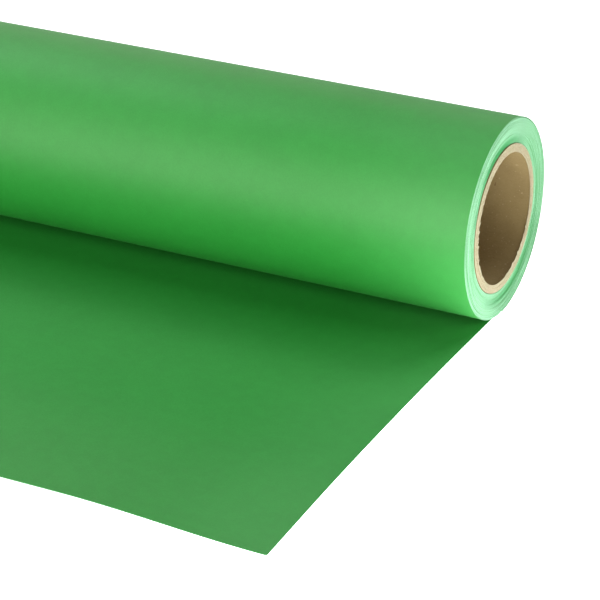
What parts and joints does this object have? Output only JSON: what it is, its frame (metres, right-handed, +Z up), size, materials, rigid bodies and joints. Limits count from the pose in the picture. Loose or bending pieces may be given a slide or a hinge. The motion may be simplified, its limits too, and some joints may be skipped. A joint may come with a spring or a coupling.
{
  "type": "backdrop paper roll",
  "caption": "Roll of seamless backdrop paper on a spiral-wound board core, standing on the floor with a short free leaf drawn out from under it.",
  "frame": {"origin": "on the core's axis at mid-length; the floor is one roll radius, 43.5 mm, below it", "axes": "+X along the roll, +Y behind it, away from the free leaf, +Z up"},
  "size_m": [1.35, 0.2604, 0.0869],
  "materials": {
    "backdrop_paper": "matte uncoated paper, dyed through",
    "core_board": "raw recycled board",
    "tape": "cream double-sided tape"
  },
  "bodies": {
    "free_sheet": {"paper_leaf": "backdrop_paper"},
    "outer_turn": {"paper_outer_turn": "backdrop_paper"},
    "roll": {"core_inner_liner": "core_board", "core_body_ply_1": "core_board", "core_body_ply_2": "core_board", "core_body_ply_3": "core_board", "core_body_ply_4": "core_board", "core_body_ply_5": "core_board", "core_outer_ply": "core_board", "start_tape": "tape", "paper_wound": "backdrop_paper"}
  },
  "joints": [
    {"name": "roll_travel", "type": "slide", "parent": "free_sheet", "child": "outer_turn", "axis": [0, -1, 0], "range_m": [0, 0.2], "deforming": ["paper_leaf"]},
    {"name": "roll_spin", "type": "hinge", "parent": "outer_turn", "child": "roll", "pos_m": [0, 0, 0], "axis": [1, 0, 0], "range_deg": [0, 264]}
  ],
  "couplings": [
    {"joint": "roll_spin", "follows": "roll_travel", "rad_per_m": 22.989}
  ]
}
